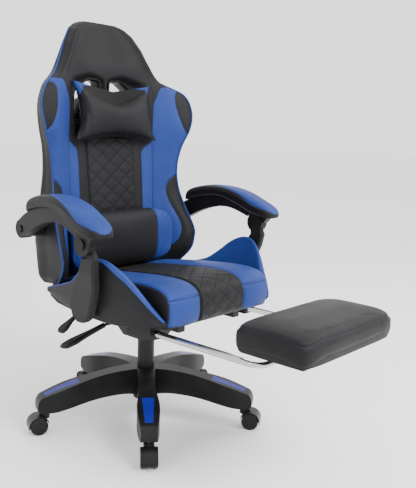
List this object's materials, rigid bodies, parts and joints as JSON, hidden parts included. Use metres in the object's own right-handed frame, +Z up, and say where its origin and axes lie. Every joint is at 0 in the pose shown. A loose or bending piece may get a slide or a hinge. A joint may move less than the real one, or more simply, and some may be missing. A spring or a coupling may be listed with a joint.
{
  "type": "gaming chair",
  "caption": "Racing-style swivel chair: high bolstered backrest, winged seat, linked armrests, castered star base and pull-out footrest.",
  "frame": {"origin": "on the floor under the column's axis", "axes": "+Z up, the sitter faces -Y, +X is the sitter's left"},
  "size_m": [0.7294, 1.0502, 1.178],
  "materials": {
    "base_nylon": "fine-grained moulded nylon",
    "insert_plastic": "smooth blue plastic",
    "caster_plastic": "smooth moulded plastic",
    "wheel_plastic": "smooth moulded plastic",
    "bright_steel": "plain steel",
    "column_paint": "black powder coat",
    "frame_paint": "black powder coat",
    "board_wood": "plain board",
    "black_leather": "grained artificial leather",
    "blue_leather": "grained artificial leather",
    "chrome": "polished chrome",
    "black_plastic": "moulded plastic"
  },
  "bodies": {
    "base": {"star_base": "base_nylon", "arm_inserts": "insert_plastic", "column_tube": "column_paint", "guide_bush": "black_plastic", "thrust_bearing": "bright_steel"},
    "piston": {"piston_rod": "bright_steel"},
    "seat": {"gas_cylinder": "column_paint", "tilt_plate": "frame_paint", "lever_pin": "bright_steel", "plate_bolts": "bright_steel", "seat_frame": "frame_paint", "seat_board": "board_wood", "seat_cushion": "black_leather", "seat_wing_left": "blue_leather", "seat_wing_right": "blue_leather", "recline_bracket_left": "frame_paint", "recline_bracket_right": "frame_paint", "rail_guide_left": "black_plastic", "rail_guide_right": "black_plastic", "foot_bracket_left": "frame_paint", "foot_bracket_right": "frame_paint"},
    "release_pin": {"release_pin": "bright_steel"},
    "height_lever": {"height_lever": "black_plastic"},
    "recline_lever": {"recline_lever": "black_plastic"},
    "backrest": {"back_frame": "frame_paint", "back_shell": "black_leather", "lumbar_pillow": "black_leather", "head_pillow": "black_leather", "arm_boss_left": "black_plastic", "arm_boss_right": "black_plastic"},
    "arm_left": {"arm_beam_left": "black_plastic", "arm_pad_left": "black_leather"},
    "arm_right": {"arm_beam_right": "black_plastic", "arm_pad_right": "black_leather"},
    "post_left": {"arm_post_left": "black_plastic"},
    "post_right": {"arm_post_right": "black_plastic"},
    "footrest_rails": {"footrest_frame": "chrome"},
    "footrest": {"footrest_saddles": "black_plastic", "footrest_board": "black_plastic", "footrest_pad": "black_leather"},
    "caster_1": {"caster_1_hood": "caster_plastic", "caster_1_stem": "bright_steel", "caster_1_axle": "bright_steel"},
    "wheels_1": {"caster_1_wheels": "wheel_plastic"},
    "caster_2": {"caster_2_hood": "caster_plastic", "caster_2_stem": "bright_steel", "caster_2_axle": "bright_steel"},
    "wheels_2": {"caster_2_wheels": "wheel_plastic"},
    "caster_3": {"caster_3_hood": "caster_plastic", "caster_3_stem": "bright_steel", "caster_3_axle": "bright_steel"},
    "wheels_3": {"caster_3_wheels": "wheel_plastic"},
    "caster_4": {"caster_4_hood": "caster_plastic", "caster_4_stem": "bright_steel", "caster_4_axle": "bright_steel"},
    "wheels_4": {"caster_4_wheels": "wheel_plastic"},
    "caster_5": {"caster_5_hood": "caster_plastic", "caster_5_stem": "bright_steel", "caster_5_axle": "bright_steel"},
    "wheels_5": {"caster_5_wheels": "wheel_plastic"}
  },
  "joints": [
    {"name": "caster_1_swivel", "type": "hinge", "parent": "base", "child": "caster_1", "pos_m": [-0.19873, -0.23137, 0.06], "axis": [0, 0, 1], "continuous": true},
    {"name": "caster_1_roll", "type": "hinge", "parent": "caster_1", "child": "wheels_1", "pos_m": [-0.21046, -0.24502, 0.025], "axis": [0.7586, -0.6516, 0], "continuous": true},
    {"name": "caster_2_swivel", "type": "hinge", "parent": "base", "child": "caster_2", "pos_m": [0.15863, -0.2605, 0.06], "axis": [0, 0, 1], "continuous": true},
    {"name": "caster_2_roll", "type": "hinge", "parent": "caster_2", "child": "wheels_2", "pos_m": [0.168, -0.27587, 0.025], "axis": [0.8541, 0.5201, 0], "continuous": true},
    {"name": "caster_3_swivel", "type": "hinge", "parent": "base", "child": "caster_3", "pos_m": [0.29677, 0.07037, 0.06], "axis": [0, 0, 1], "continuous": true},
    {"name": "caster_3_roll", "type": "hinge", "parent": "caster_3", "child": "wheels_3", "pos_m": [0.31428, 0.07452, 0.025], "axis": [-0.2307, 0.973, 0], "continuous": true},
    {"name": "caster_4_swivel", "type": "hinge", "parent": "base", "child": "caster_4", "pos_m": [0.02478, 0.30399, 0.06], "axis": [0, 0, 1], "continuous": true},
    {"name": "caster_4_roll", "type": "hinge", "parent": "caster_4", "child": "wheels_4", "pos_m": [0.02624, 0.32193, 0.025], "axis": [-0.9967, 0.0812, 0], "continuous": true},
    {"name": "caster_5_swivel", "type": "hinge", "parent": "base", "child": "caster_5", "pos_m": [-0.28146, 0.1175, 0.06], "axis": [0, 0, 1], "continuous": true},
    {"name": "caster_5_roll", "type": "hinge", "parent": "caster_5", "child": "wheels_5", "pos_m": [-0.29807, 0.12444, 0.025], "axis": [-0.3853, -0.9228, 0], "continuous": true},
    {"name": "seat_swivel", "type": "hinge", "parent": "base", "child": "piston", "pos_m": [0, 0, 0.075], "axis": [0, 0, 1], "continuous": true},
    {"name": "height_slide", "type": "slide", "parent": "piston", "child": "seat", "axis": [0, 0, 1], "range_m": [0, 0.08]},
    {"name": "height_lever_pull", "type": "hinge", "parent": "seat", "child": "height_lever", "pos_m": [-0.055, 0, 0.318], "axis": [0, 1, 0], "range_deg": [0, 6], "stiffness_Nm_per_rad": 4, "springref_deg": -11.46},
    {"name": "release_pin_press", "type": "slide", "parent": "seat", "child": "release_pin", "axis": [0, 0, -1], "range_m": [0, 0.006]},
    {"name": "recline_lever_pull", "type": "hinge", "parent": "seat", "child": "recline_lever", "pos_m": [-0.222, 0.04, 0.352], "axis": [0, 1, 0], "range_deg": [0, 12], "stiffness_Nm_per_rad": 2, "springref_deg": -11.46},
    {"name": "recline", "type": "hinge", "parent": "seat", "child": "backrest", "pos_m": [0, 0.158, 0.392], "axis": [-1, 0, 0], "range_deg": [0, 35]},
    {"name": "footrest_slide", "type": "slide", "parent": "seat", "child": "footrest_rails", "axis": [0, 1, 0], "range_m": [0, 0.3]},
    {"name": "footrest_flip", "type": "hinge", "parent": "footrest_rails", "child": "footrest", "pos_m": [0, -0.574, 0.352], "axis": [1, 0, 0], "range_deg": [0, 180]},
    {"name": "arm_left_pivot", "type": "hinge", "parent": "backrest", "child": "arm_left", "pos_m": [0.306, 0.163, 0.586], "axis": [1, 0, 0], "range_deg": [0, 28]},
    {"name": "post_left_pivot", "type": "hinge", "parent": "seat", "child": "post_left", "pos_m": [0.296, -0.082, 0.388], "axis": [-1, 0, 0], "range_deg": [0, 33]},
    {"name": "arm_right_pivot", "type": "hinge", "parent": "backrest", "child": "arm_right", "pos_m": [-0.306, 0.163, 0.586], "axis": [1, 0, 0], "range_deg": [0, 28]},
    {"name": "post_right_pivot", "type": "hinge", "parent": "seat", "child": "post_right", "pos_m": [-0.296, -0.082, 0.388], "axis": [-1, 0, 0], "range_deg": [0, 33]}
  ],
  "couplings": [
    {"joint": "release_pin_press", "follows": "height_lever_pull", "m_per_rad": 0.055},
    {"joint": "footrest_flip", "follows": "footrest_slide", "rad_per_m": 10.471},
    {"joint": "arm_left_pivot", "follows": "recline", "ratio": 0.788},
    {"joint": "post_left_pivot", "follows": "recline", "ratio": 0.922},
    {"joint": "arm_right_pivot", "follows": "recline", "ratio": 0.788},
    {"joint": "post_right_pivot", "follows": "recline", "ratio": 0.922}
  ]
}
